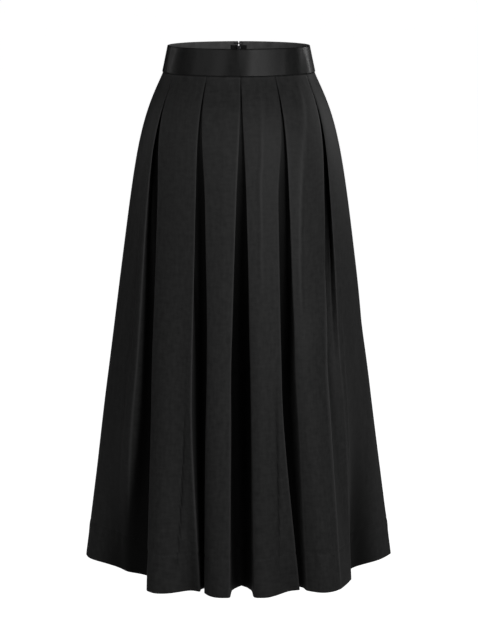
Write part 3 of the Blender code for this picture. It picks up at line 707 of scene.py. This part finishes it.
def add_panel(name, first_guide, last_guide, centre_first, centre_last):
    """One panel of the skirt between two guides, with its hem turned up inside and a thin wall.

    Its points are the creased rings of the whole skirt. The hem's rows go on round its edge and
    back up, 0.7 mm inside. At the centre back the edge stops short for the zip and turns in
    the same way. The panel comes back with its cut size and its area."""
    count = (column_at(last_guide) - column_at(first_guide)) % ROUND + 1
    pick = (column_at(first_guide) + np.arange(count)) % ROUND
    plan, into, depth = rings[:, pick].copy(), inwards[:, pick], cloth_depth
    ahead = np.stack([into[..., 1], -into[..., 0]], axis=-1)
    is_open = depth < ZIP_END + OPEN_PAST_ZIP
    open_gap = np.where(is_open, ZIP_HALF_GAP, SEAM_GAP / 2)[:, None]
    seam_gap = np.full_like(open_gap, SEAM_GAP / 2)
    plan[:, 0] += ahead[:, 0] * (open_gap if centre_first else seam_gap)
    plan[:, -1] -= ahead[:, -1] * (open_gap if centre_last else seam_gap)
    steps = np.linalg.norm(np.diff(plan, axis=1), axis=-1)
    columns, layer = np.arange(count), np.zeros(count)
    turned = np.arange(ALLOWANCE_COLUMNS + 1)
    if centre_first:
        columns = np.concatenate([turned[::-1], columns])
        layer = np.concatenate([np.ones(len(turned)), layer])
    if centre_last:
        columns = np.concatenate([columns, count - 1 - turned])
        layer = np.concatenate([layer, np.ones(len(turned))])
    plan = plan[:, columns] + into[:, columns] * layer[:, None] * HEM_STEP
    into = into[:, columns]
    rise = np.arange(CLOTH_ROWS - 1, CLOTH_ROWS - 1 - HEM_ROWS, -1)
    edge = plan[-1:] + into[-1:] * HEM_STEP / 2
    plan = np.concatenate([plan, edge, plan[rise] + into[rise] * HEM_STEP])
    deeper = np.concatenate([depth, [LENGTH + HEM_STEP / 2], depth[rise]])
    height = np.broadcast_to((WAIST_TOP - deeper)[:, None, None], (*plan.shape[:2], 1))
    points = np.concatenate([plan, height], axis=-1)
    walk = np.linalg.norm(np.diff(plan, axis=1), axis=-1)
    around = np.hstack([np.zeros((len(plan), 1)), np.cumsum(walk, axis=1)])
    run = np.concatenate([depth, LENGTH + np.linspace(0, HEM_TURN, HEM_ROWS + 1)])
    grain = np.broadcast_to(around[len(depth) // 2], around.shape)
    uv = np.stack([grain, np.broadcast_to(run[:, None], around.shape)], axis=-1)
    panel = add_mesh(
        name, points.reshape(-1, 3), grid_faces(*plan.shape[:2]), uv.reshape(-1, 2)
    )
    # The points carry painted shade, deep in the pleats and along sharp creases' bottoms, and
    # painted highlights along the pleats' edges and on ridges.
    shade = panel.data.attributes.new("painted_fold_shade", "FLOAT", "POINT")
    source_rows = np.concatenate([np.arange(CLOTH_ROWS), [CLOTH_ROWS - 1], rise])
    cell = np.ix_(source_rows, pick[columns])
    dark = painted_fold_shade(plan, deeper[:, None], places[pick[columns]])
    shade.data.foreach_set("value", np.maximum(dark, crease_shade[cell]).ravel())
    shine = panel.data.attributes.new("painted_highlight", "FLOAT", "POINT")
    shine.data.foreach_set("value", pressed[cell].ravel())
    wall = panel.modifiers.new("wall", "SOLIDIFY")
    wall.thickness = SATIN_THICK
    wall.offset = 0.0
    wall.material_offset = 1
    panel.data.materials.append(skirt_satin)
    panel.data.materials.append(satin_back)
    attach(panel, "skirt")
    waist_cut = float(steps[0].sum())
    hem_cut = float(steps[CLOTH_ROWS - 1].sum())
    drop = LENGTH - BAND_HEIGHT
    area = (waist_cut + hem_cut) / 2 * drop + hem_cut * HEM_TURN
    return panel, (max(waist_cut, hem_cut), drop + HEM_TURN), area


side_left = 2 * GUIDES_PER_FOLD + VALLEY_GUIDE
side_right = 8 * GUIDES_PER_FOLD + VALLEY_GUIDE
# Each panel's solid, the guides that it runs between, and whether each edge lies at the zip.
PANELS = (
    ("front_panel", "skirt_front", side_left, side_right, False, False),
    ("back_left_panel", "skirt_back_left", CENTRE_BACK_GUIDE, side_left, True, False),
    ("back_right_panel", "skirt_back_right", side_right, CENTRE_BACK_GUIDE, False, True),
)
for name, node, first, last, centre_first, centre_last in PANELS:
    panel, flat, area = add_panel(name, first, last, centre_first, centre_last)
    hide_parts(node)

# Waistband
# A straight band of heavier, shinier satin, folded double over a stiffener so that its edges are
# folds, and stitched down over the top of the panels. Its ends meet above the zip.
BAND_THICK = 0.0022
BAND_PROUD = 0.0010
BAND_EDGE = 0.0009
BAND_COLUMNS = 600
BAND_FACE_ROWS = 30
BAND_EDGE_STEPS = 6
FACING_FIRST = BAND_FACE_ROWS + BAND_EDGE_STEPS - 1
FACING_END = 2 * BAND_FACE_ROWS + BAND_EDGE_STEPS


def band_section():
    """The band's closed section as inside and depth: two flat faces joined by round edges."""
    faces = np.linspace(BAND_EDGE, BAND_HEIGHT - BAND_EDGE, BAND_FACE_ROWS)
    turn = np.linspace(0, math.pi / 2, BAND_EDGE_STEPS)[1:-1]
    across, down = BAND_EDGE * (1 - np.cos(turn)), BAND_EDGE * (1 - np.sin(turn))
    outer, inner = -BAND_PROUD, BAND_THICK - BAND_PROUD
    flat_run = np.linspace(outer + BAND_EDGE, inner - BAND_EDGE, 2)
    inside = [
        np.full(BAND_FACE_ROWS, outer), outer + across, flat_run, inner - across[::-1],
        np.full(BAND_FACE_ROWS, inner), inner - across, flat_run[::-1], outer + across[::-1],
    ]
    depth = [
        faces[::-1], down, [0.0, 0.0], down[::-1],
        faces, BAND_HEIGHT - down, [BAND_HEIGHT, BAND_HEIGHT], BAND_HEIGHT - down[::-1],
    ]
    return np.concatenate(inside), np.concatenate(depth)


inside, depth = band_section()
end = 180 - np.degrees(np.arcsin(ZIP_HALF_GAP / half_width(depth)))[:, None]
angle = end * np.linspace(-1, 1, BAND_COLUMNS)
swell = band_swell(angle, depth[:, None])
plan = outline_point(angle, inside[:, None] - swell, depth[:, None])
height = np.broadcast_to((WAIST_TOP - depth)[:, None, None], (*angle.shape, 1))
points = np.concatenate([plan, height], axis=-1)
walk = np.concatenate([[0.0], np.cumsum(np.hypot(np.diff(inside), np.diff(depth)))])
uv = np.stack([angle / 360 * girth, np.broadcast_to(walk[:, None], angle.shape)], axis=-1)
faces = grid_faces(BAND_COLUMNS, len(depth), closed=True)
section_part = np.tile(np.arange(len(depth)), BAND_COLUMNS - 1)
band = add_mesh(
    "folded_waistband", points.transpose(1, 0, 2).reshape(-1, 3), faces[:, ::-1],
    uv.transpose(1, 0, 2).reshape(-1, 2),
)
facing = (section_part >= FACING_FIRST) & (section_part < FACING_END)
band.data.polygons.foreach_set("material_index", facing.astype(np.int32))
close_ends(band)
# The band's satin is denser and shinier than the panels'. Its facing inside is a dull grey, painted
# paler than the black satin: painted light for the light that the inside of the band catches.
band.data.materials.append(
    satin("polyester_satin_waistband", "#131313", "#1e1e1e", 0.34, 0.15, 0.00003)
)
band.data.materials.append(
    satin("facing_grey_painted_light", "#585858", "#6c6c6c", 0.60, 0.2, 0.00004)
)
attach(band, "skirt")
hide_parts("waistband")

# Zip
# A nylon coil zip at the centre back: two woven tapes sewn behind the opening's edges, and on
# them two coils of monofilament whose turns lock into each other below the slider.
COIL_TOP = 0.0124
COIL_PITCH = 0.0013
COIL_STEPS = 12
COIL_SIDES = 6
COIL_RADIUS = 0.00026
COIL_REACH = 0.0010
COIL_DEEP = 0.00034
COIL_OFF_CENTRE = 0.00075
CHAIN_MIDDLE = 0.0023
ASKEW = (0.31, 0.17, 0.93)


def back_y(depth, inside, across):
    """How far back the outline lies at the centre back, moved inside, at a distance across."""
    drop = np.sqrt(1 - (across / half_width(depth)) ** 2)
    return half_depth(depth, True) * drop - inside


def tube_round(path, radius, sides):
    """A tube's grid of points about a path, its section turned square to the path all along.
    No path here runs the way of ASKEW, so its cross product with the path is never nothing."""
    ahead = unit(np.gradient(path, axis=0))
    side = unit(np.cross(ahead, np.array(ASKEW)))
    other = np.cross(ahead, side)
    turn = np.arange(sides) * 2 * math.pi / sides
    ring = np.cos(turn)[:, None] * side[:, None] + np.sin(turn)[:, None] * other[:, None]
    return path[:, None] + radius * ring


coils = []
for side, lead in ((-1, 0.0), (1, math.pi)):
    turns = (ZIP_END - COIL_TOP) / COIL_PITCH
    turn = np.linspace(0, 2 * math.pi * turns, int(turns * COIL_STEPS))
    depth = COIL_TOP + turn / (2 * math.pi) * COIL_PITCH
    across = side * (COIL_OFF_CENTRE - COIL_REACH * np.cos(turn + lead))
    y = back_y(depth, CHAIN_MIDDLE, across) + COIL_DEEP * np.sin(turn + lead)
    path = np.stack([across, y, WAIST_TOP - depth], axis=-1)
    coils.append(tube_round(path, COIL_RADIUS, COIL_SIDES))
rows = len(coils[0])
faces = grid_faces(rows, COIL_SIDES, closed=True)
points = np.concatenate([coil.reshape(-1, 3) for coil in coils])
coil = add_mesh("zip_coils", points, np.concatenate([faces, faces + rows * COIL_SIDES]))
close_ends(coil)

# Nylon monofilament: smooth drawn plastic, which gives each turn a small bright glint, duller in
# patches where the slider has rubbed it.
nylon, tree = new_material("nylon_monofilament")
place = add_node(tree, "ShaderNodeTexCoord", {}, {})
wear = add_node(
    tree, "ShaderNodeTexNoise", {"Scale": 900.0, "Detail": 2.0}, {"Vector": (place, "Object")}
)
gloss = add_node(
    tree, "ShaderNodeMapRange", {"To Min": 0.25, "To Max": 0.5}, {"Value": (wear, 0)}
)
add_surface(tree, {"Base Color": colour("#1c1c1e"), "IOR": 1.53}, {"Roughness": (gloss, 0)})
coil.data.materials.append(nylon)
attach(coil, "skirt")
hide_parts("zip_chain")

# Polyester tape: a plain weave of ribs about a millimetre apart both ways, which leave it dull.
woven, tree = new_material("woven_polyester_tape")
uv = add_node(tree, "ShaderNodeUVMap", {"uv_map": "cloth"}, {})
ribs = []
for direction in ("X", "Y"):
    rib = add_node(
        tree,
        "ShaderNodeTexWave",
        {"Scale": 320.0, "Distortion": 0.4, "bands_direction": direction},
        {"Vector": (uv, 0)},
    )
    ribs.append((rib, "Fac"))
both = add_node(tree, "ShaderNodeMath", {"operation": "MULTIPLY"}, dict(enumerate(ribs)))
tone = mix_tones(tree, "#161617", "#29292b", (both, 0))
bump = add_node(
    tree, "ShaderNodeBump", {"Strength": 0.6, "Distance": 0.0001}, {"Height": (both, 0)}
)
add_surface(
    tree,
    {"Roughness": 0.8, "Specular IOR Level": 0.3},
    {"Base Color": (tone, "Result_Color"), "Normal": (bump, 0)},
)

TAPE_TOP = 0.0068
TAPE_MIDDLE = 0.0021
TAPE_THICK = 0.0005
TAPE_INNER_EDGE = 0.0026
TAPE_OUTER_EDGE = 0.0136
TAPE_ROWS = 90
TAPE_COLUMNS = 24
SELVEDGE = 0.0012
SELVEDGE_RISE = 0.00012

for side, node in ((-1, "zip_tape_left"), (1, "zip_tape_right")):
    distance = np.linspace(TAPE_INNER_EDGE, TAPE_OUTER_EDGE, TAPE_COLUMNS)
    depth = np.linspace(TAPE_TOP, ZIP_END, TAPE_ROWS)[:, None]
    ridge = SELVEDGE_RISE * bell(distance - TAPE_OUTER_EDGE + SELVEDGE / 2, SELVEDGE / 2)
    across = side * distance[None, :] + 0 * depth
    y = back_y(depth, TAPE_MIDDLE - ridge, across)
    points = np.stack([across, y, WAIST_TOP - depth + 0 * across], axis=-1).reshape(-1, 3)
    uv = np.stack([distance + 0 * depth, depth + 0 * across], axis=-1).reshape(-1, 2)
    faces = grid_faces(TAPE_ROWS, TAPE_COLUMNS)
    tape = add_mesh("woven_" + node, points, faces if side == 1 else faces[:, ::-1], uv)
    wall = tape.modifiers.new("wall", "SOLIDIFY")
    wall.thickness = TAPE_THICK
    wall.offset = 0.0
    tape.data.materials.append(woven)
    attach(tape, "skirt")
    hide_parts(node)

# Zip slider and pull tab, hook and eye
# Zinc castings and bent wire, tumbled smooth and blackened to match the cloth. The tab swings on
# the slider's bail. Each keeps the form of its solid, with its edges rounded as tumbling does.
METAL_EDGE = 0.00012
METAL_EDGE_STEPS = 3
SAME_POINT = 1e-6
FLAT_DEGREES = 1
SHARP_DEGREES = 35

# Blackened zinc: a dark skin on bright metal, so it mirrors as metal does but in grey, and the
# fine grain of the casting blurs what it mirrors.
black_metal, tree = new_material("blackened_zinc")
place = add_node(tree, "ShaderNodeTexCoord", {}, {})
grain = add_node(
    tree, "ShaderNodeTexNoise", {"Scale": 1500.0, "Detail": 3.0}, {"Vector": (place, "Object")}
)
gloss = add_node(
    tree, "ShaderNodeMapRange", {"To Min": 0.25, "To Max": 0.5}, {"Value": (grain, 0)}
)
tone = mix_tones(tree, "#434346", "#5d5d60", (grain, 0))
bump = add_node(
    tree, "ShaderNodeBump", {"Strength": 0.2, "Distance": 0.00005}, {"Height": (grain, 0)}
)
add_surface(
    tree,
    {"Metallic": 1.0},
    {"Base Color": (tone, "Result_Color"), "Roughness": (gloss, 0), "Normal": (bump, 0)},
)

# Each solid, its piece's name, the body that it rides and its slot.
METAL_PIECES = (
    ("zip_slider", "cast_slider", "skirt", "zip_metal"),
    ("zip_pull_tab", "cast_pull_tab", "pull_tab", "zip_metal"),
    ("hook", "bent_hook", "skirt", "hook_metal"),
    ("eye", "bent_eye", "skirt", "hook_metal"),
)
for node, name, body, slot in METAL_PIECES:
    shape = bmesh.new()
    shape.from_mesh(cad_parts[node].data)
    bmesh.ops.remove_doubles(shape, verts=shape.verts, dist=SAME_POINT)
    bmesh.ops.dissolve_limit(
        shape, angle_limit=math.radians(FLAT_DEGREES), verts=shape.verts, edges=shape.edges
    )
    mesh = bpy.data.meshes.new(name)
    shape.to_mesh(mesh)
    shape.free()
    casting = bpy.data.objects.new(name, mesh)
    bpy.context.scene.collection.objects.link(casting)
    rounding = casting.modifiers.new("rounding", "BEVEL")
    rounding.width = METAL_EDGE
    rounding.segments = METAL_EDGE_STEPS
    rounding.limit_method = "ANGLE"
    rounding.angle_limit = math.radians(SHARP_DEGREES)
    rounding.harden_normals = True
    mesh.shade_smooth()
    mesh.materials.append(black_metal)
    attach(casting, body)
    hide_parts(node)

# Stitching
# Polyester thread the colour of the cloth: two rows that hold the zip, with a bar across its end,
# slip stitches round the foot of the waistband's inside, and the hem's small blind stitches.
THREAD_RADIUS = 0.00017
THREAD_RISE = 1.6
STITCH_SIDES = 6
STITCH_RINGS = 7

# Spun polyester thread: short fibres twisted together, so it is dull and shows its twist.
thread, tree = new_material("spun_polyester_thread")
place = add_node(tree, "ShaderNodeTexCoord", {}, {})
twist = add_node(
    tree,
    "ShaderNodeTexWave",
    {"Scale": 700.0, "Distortion": 1.0, "bands_direction": "DIAGONAL"},
    {"Vector": (place, "Object")},
)
bump = add_node(
    tree, "ShaderNodeBump", {"Strength": 0.5, "Distance": 0.00008}, {"Height": (twist, "Fac")}
)
tone = mix_tones(tree, "#1b1b1c", "#39393b", (twist, "Fac"))
add_surface(tree, {"Roughness": 0.55}, {"Base Color": (tone, "Result_Color"), "Normal": (bump, 0)})


def stitches(name, path, out, pitch, length):
    """A row of stitches along a path, each a thread that rises from the cloth and goes back in.

    Each is a tube whose middle follows the path over the stitch's length, raised along out as
    half a sine, from one radius under the surface. All are worked out in one array."""
    steps = np.linalg.norm(np.diff(path, axis=0), axis=1)
    run = np.concatenate([[0.0], np.cumsum(steps)])
    middles = np.arange(pitch / 2, run[-1] - length / 2, pitch)
    share = np.linspace(0, 1, STITCH_RINGS)
    at = middles[:, None] + (share - 0.5) * length

    def read(values):
        return np.stack([np.interp(at, run, column) for column in values.T], axis=-1)

    raised = unit(read(out))
    lift = THREAD_RADIUS * (THREAD_RISE * np.sin(math.pi * share) - 1.0)
    middle = read(path) + raised * lift[:, None]
    ahead = unit(np.gradient(middle, axis=1))
    side = np.cross(ahead, raised)
    turn = (np.arange(STITCH_SIDES) * 2 * math.pi / STITCH_SIDES)[:, None]
    ring = np.cos(turn) * side[..., None, :] + np.sin(turn) * raised[..., None, :]
    points = middle[..., None, :] + THREAD_RADIUS * ring
    one = grid_faces(STITCH_RINGS, STITCH_SIDES, closed=True)
    first = np.arange(len(middles)) * STITCH_RINGS * STITCH_SIDES
    row = add_mesh(name, points.reshape(-1, 3), (one + first[:, None, None]).reshape(-1, 4))
    close_ends(row)
    row.data.materials.append(thread)
    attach(row, "skirt")


# Each row's pitch and stitch length.
HEM_STITCH = (0.0080, 0.0014)
BAND_STITCH = (0.0032, 0.0024)
ZIP_STITCH = (0.0027, 0.0021)

hem_row = CLOTH_ROWS - HEM_ROWS + 1
centre_back = column_at(CENTRE_BACK_GUIDE)
turned = (centre_back + np.arange(1, ROUND)) % ROUND
plan = rings[hem_row, turned] - inwards[hem_row, turned] * SATIN_THICK / 2
flat = np.zeros((len(turned), 1))
path = np.hstack([plan, flat + WAIST_TOP - cloth_depth[hem_row]])
stitches("hem_stitches", path, np.hstack([-inwards[hem_row, turned], flat]), *HEM_STITCH)

BAND_STITCH_RISE = 0.0022
BAND_STITCH_END = 176.5
BAND_STITCH_POINTS = 900
angle = np.linspace(-BAND_STITCH_END, BAND_STITCH_END, BAND_STITCH_POINTS)
depth = BAND_HEIGHT - BAND_STITCH_RISE
inside = BAND_THICK - BAND_PROUD - band_swell(angle, depth)
plan = outline_point(angle, inside, depth)
flat = np.zeros((len(angle), 1))
path = np.hstack([plan, flat + WAIST_TOP - depth])
stitches("waistband_stitches", path, np.hstack([-plan, flat]), *BAND_STITCH)

STITCH_FROM_CENTRE = 0.0084
ZIP_STITCH_TOP = 0.0015
FOOT_MARGIN = 0.0008
ON_BAND_POINTS = 40
BAR_DEPTH = ZIP_END + 0.012
BAR_POINTS = 20
COLUMNS_NEAR = 9
for side, name in ((-1, "zip_stitches_left"), (1, "zip_stitches_right")):
    depth = np.linspace(ZIP_STITCH_TOP, BAND_HEIGHT - FOOT_MARGIN, ON_BAND_POINTS)
    angle = 180 - np.degrees(np.arcsin(STITCH_FROM_CENTRE / half_width(depth)))
    plan = outline_point(side * angle, -BAND_PROUD - band_swell(side * angle, depth), depth)
    rows = cloth_depth[cloth_depth < BAR_DEPTH]
    near = rings[: len(rows), centre_back - COLUMNS_NEAR : centre_back + COLUMNS_NEAR + 1]
    across = side * STITCH_FROM_CENTRE
    on_cloth = np.array([np.interp(-across, -ring[:, 0], ring[:, 1]) for ring in near])
    below = np.stack([np.full_like(on_cloth, across), on_cloth + SATIN_THICK / 2], axis=-1)
    for piece_name, flat_points, down in (
        (name, below, rows), (name + "_on_band", plan, depth)
    ):
        path = np.column_stack([flat_points, WAIST_TOP - down])
        out = np.column_stack([0 * down, 0 * down + 1.0, 0 * down])
        stitches(piece_name, path, out, *ZIP_STITCH)
across = np.linspace(-STITCH_FROM_CENTRE, STITCH_FROM_CENTRE, BAR_POINTS)
on_cloth = np.interp(-across, -near[-1][:, 0], near[-1][:, 1]) + SATIN_THICK / 2
path = np.column_stack([across, on_cloth, np.full(BAR_POINTS, WAIST_TOP - rows[-1])])
stitches("zip_stitches_end", path, np.tile((0.0, 1.0, 0.0), (BAR_POINTS, 1)), *ZIP_STITCH)

# Studio
# A floor and surround of white paper, which the camera sees as plain white and which light the
# skirt only faintly, and eight soft lights: a key and two more at the front right, three at the
# front left, and one behind each side to draw its edge.
FLOOR_BELOW = 0.15
FLOOR_REACH = 30
FLOOR_GLOW = 0.02
AROUND_GLOW = 0.004

corners = [(-1, -1), (1, -1), (1, 1), (-1, 1)]
level = WAIST_TOP - LENGTH - FLOOR_BELOW
floor_points = [(FLOOR_REACH * across, FLOOR_REACH * along, level) for across, along in corners]
floor = add_mesh("floor", floor_points, np.array([[0, 1, 2, 3]]))

# White paper: matt, and so brightly lit that it leaves no shade of its own behind the cloth.
paper, tree = new_material("white_paper_sweep")
ray = add_node(tree, "ShaderNodeLightPath", {}, {})
glow = add_node(
    tree, "ShaderNodeMapRange", {"To Min": FLOOR_GLOW}, {"Value": (ray, "Is Camera Ray")}
)
add_surface(
    tree,
    {"Base Color": colour("#e0e0e0"), "Roughness": 0.9, "Emission Color": colour("#ffffff")},
    {"Emission Strength": (glow, 0)},
)
floor.data.materials.append(paper)


def add_softbox(name, place, aim, width, height, power, spread):
    """A rectangular soft light aimed at a point. Its spread in degrees is that of its grid."""
    light = bpy.data.lights.new(name, "AREA")
    light.shape = "RECTANGLE"
    light.size, light.size_y, light.energy = width, height, power
    light.spread = math.radians(spread)
    made = bpy.data.objects.new(name, light)
    made.location = place
    made.rotation_euler = (Vector(aim) - Vector(place)).to_track_quat("-Z", "Y").to_euler()
    bpy.context.scene.collection.objects.link(made)


add_softbox("key", (1.4, -3.0, 0.6), (0.0, 0.0, 0.3), 0.8, 1.0, 13.8, 130)
add_softbox("right_high", (2.4, -2.0, 0.8), (0.0, 0.0, 0.0), 0.8, 1.0, 4.5, 130)
add_softbox("right_low", (2.2, -2.6, -0.2), (0.0, 0.0, 0.0), 1.0, 1.2, 3.6, 130)
add_softbox("left_front", (-1.45, -2.85, 0.8), (0.0, 0.0, 0.3), 0.6, 1.0, 4.9, 130)
add_softbox("left_low", (-2.2, -2.6, -0.2), (0.0, 0.0, 0.0), 1.0, 1.2, 0.7, 130)
add_softbox("left_high", (-2.4, -1.7, 0.9), (0.0, 0.0, 0.3), 0.6, 1.0, 2.5, 130)
add_softbox("right_rim", (2.5, 1.45, 0.4), (0.1, 0.0, -0.1), 0.6, 1.0, 5.2, 120)
add_softbox("left_rim", (-2.7, 1.0, 0.4), (-0.1, 0.0, -0.1), 0.6, 1.0, 1.8, 120)

world = bpy.data.worlds.new("studio")
world.use_nodes = True
tree = world.node_tree
tree.nodes.clear()
ray = add_node(tree, "ShaderNodeLightPath", {}, {})
seen = add_node(
    tree, "ShaderNodeMapRange", {"To Min": AROUND_GLOW}, {"Value": (ray, "Is Camera Ray")}
)
sky = add_node(
    tree, "ShaderNodeBackground", {"Color": colour("#ffffff")}, {"Strength": (seen, 0)}
)
add_node(tree, "ShaderNodeOutputWorld", {}, {"Surface": (sky, 0)})
bpy.context.scene.world = world
bpy.context.scene.view_settings.view_transform = "Standard"
